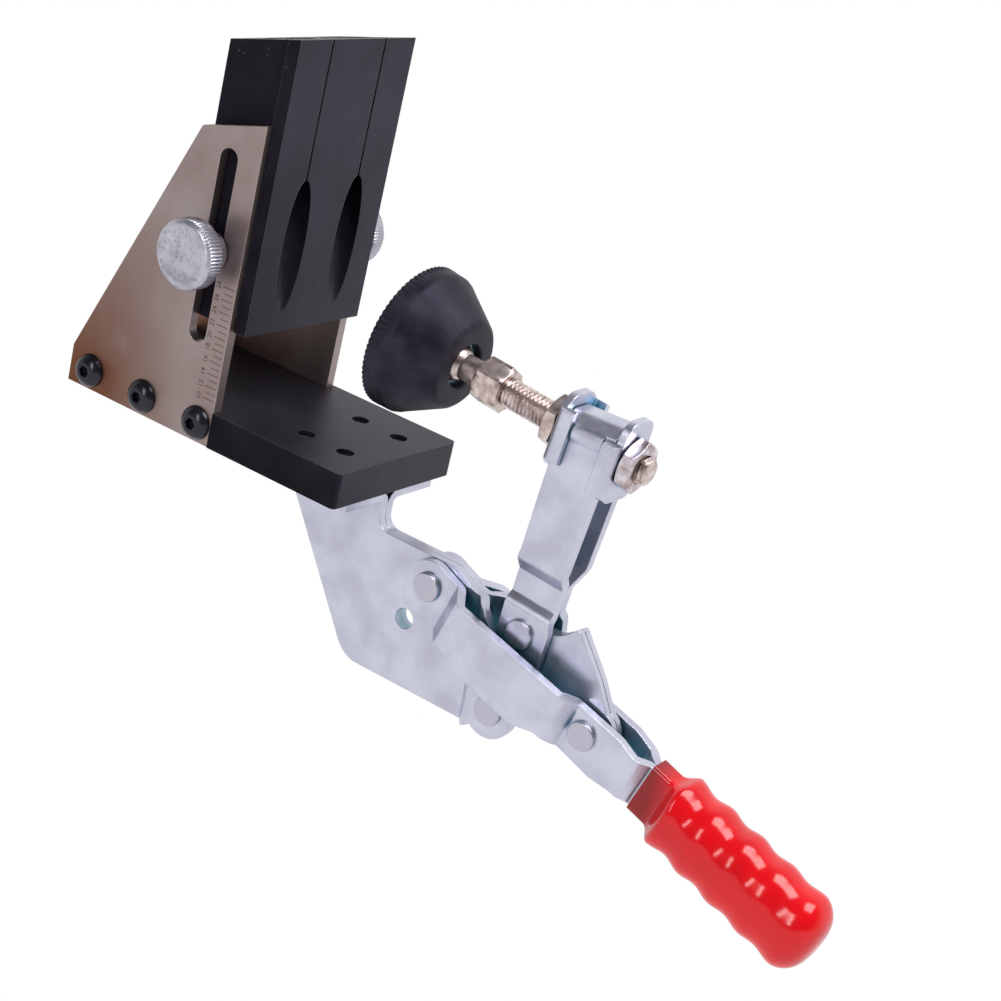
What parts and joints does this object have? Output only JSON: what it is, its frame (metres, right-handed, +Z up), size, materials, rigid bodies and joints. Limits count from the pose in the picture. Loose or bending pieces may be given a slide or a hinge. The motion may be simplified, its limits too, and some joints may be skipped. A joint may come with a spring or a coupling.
{
  "type": "pocket hole drilling jig",
  "caption": "Steep-angle drill guide block sliding between scaled steel side plates on a base plate, with a toggle clamp whose swivel foot presses the work against the block",
  "frame": {"origin": "on the base plate's top face, midway across, in the plane of the guide block's front face", "axes": "+X from the guide block toward the clamp, +Y across the jig, +Z up from the base plate"},
  "size_m": [0.2496, 0.076, 0.184],
  "materials": {
    "black_anodised": "satin black anodised aluminium",
    "brushed_plate": "brushed stainless sheet",
    "zinc_sheet": "bright zinc plated steel",
    "zinc_rivet": "bright zinc plated rivet",
    "black_oxide": "black oxide screw",
    "nickel_thread": "warm nickel plated fastener",
    "knurled_knob": "knurled nickel plated knob",
    "bush_steel": "hardened ground steel",
    "red_grip": "glossy dipped vinyl",
    "black_rubber": "matt moulded rubber"
  },
  "bodies": {
    "jig_base": {"base_plate": "black_anodised", "side_plate_near": "brushed_plate", "side_plate_far": "brushed_plate", "plate_screw_near_1": "black_oxide", "plate_screw_near_2": "black_oxide", "plate_screw_near_3": "black_oxide", "plate_screw_far_1": "black_oxide", "plate_screw_far_2": "black_oxide", "plate_screw_far_3": "black_oxide", "clamp_frame_near": "zinc_sheet", "clamp_frame_far": "zinc_sheet", "frame_screw_1": "zinc_rivet", "frame_screw_2": "zinc_rivet", "frame_screw_3": "zinc_rivet", "frame_screw_4": "zinc_rivet", "handle_pivot_rivet": "zinc_rivet", "arm_pivot_rivet": "zinc_rivet"},
    "guide": {"guide_block": "black_anodised", "drill_bush_near": "bush_steel", "drill_bush_far": "bush_steel"},
    "near_knob": {"thumb_screw_near": "knurled_knob"},
    "far_knob": {"thumb_screw_far": "knurled_knob"},
    "handle": {"handle_plate_near": "zinc_sheet", "handle_plate_far": "zinc_sheet", "handle_rivet_near": "zinc_rivet", "handle_rivet_far": "zinc_rivet", "grip": "red_grip"},
    "arm": {"arm_bar": "zinc_sheet", "link_pivot_rivet": "zinc_rivet"},
    "link": {"link_near": "zinc_sheet", "link_far": "zinc_sheet", "link_barrel": "zinc_rivet"},
    "carriage": {"slot_washer_front": "zinc_sheet", "slot_washer_back": "zinc_sheet", "lock_nut": "nickel_thread", "end_nut": "nickel_thread"},
    "spindle": {"spindle_stud": "nickel_thread"},
    "cup": {"ball_cup": "zinc_sheet"},
    "pad": {"pressure_pad": "black_rubber"}
  },
  "joints": [
    {"name": "guide_slide", "type": "slide", "parent": "jig_base", "child": "guide", "axis": [0, 0, 1], "range_m": [-0.0222, 0.0245]},
    {"name": "near_knob_turn", "type": "hinge", "parent": "guide", "child": "near_knob", "pos_m": [-0.0147, -0.03, 0.0425], "axis": [0, -1, 0], "continuous": true},
    {"name": "far_knob_turn", "type": "hinge", "parent": "guide", "child": "far_knob", "pos_m": [-0.0147, 0.03, 0.0425], "axis": [0, 1, 0], "continuous": true},
    {"name": "handle_swing", "type": "hinge", "parent": "jig_base", "child": "handle", "pos_m": [0.061, 0, -0.0281], "axis": [0, 1, 0], "range_deg": [-2.5, 40]},
    {"name": "arm_swing", "type": "hinge", "parent": "jig_base", "child": "arm", "pos_m": [0.0892, 0, -0.0516], "axis": [0, 1, 0], "range_deg": [-5.2, 83.2]},
    {"name": "link_swing", "type": "hinge", "parent": "arm", "child": "link", "pos_m": [0.09111, 0, -0.02868], "axis": [0, 1, 0], "range_deg": [-0.82, 13.2]},
    {"name": "carriage_slide", "type": "slide", "parent": "arm", "child": "carriage", "axis": [0.1075, 0, 0.9942], "range_m": [-0.0045, 0]},
    {"name": "spindle_depth", "type": "slide", "parent": "carriage", "child": "spindle", "axis": [-0.9942, 0, 0.1075], "range_m": [-0.012, 0.001]},
    {"name": "pad_tilt", "type": "hinge", "parent": "spindle", "child": "cup", "pos_m": [0.04959, 0, 0.03192], "axis": [0, 1, 0], "range_deg": [-8, 8]},
    {"name": "pad_swing", "type": "hinge", "parent": "cup", "child": "pad", "pos_m": [0.04959, 0, 0.03192], "axis": [0.1075, 0, 0.9942], "range_deg": [-8, 8]}
  ],
  "couplings": [
    {"joint": "arm_swing", "follows": "handle_swing", "ratio": 2.08},
    {"joint": "link_swing", "follows": "handle_swing", "ratio": 0.33}
  ]
}
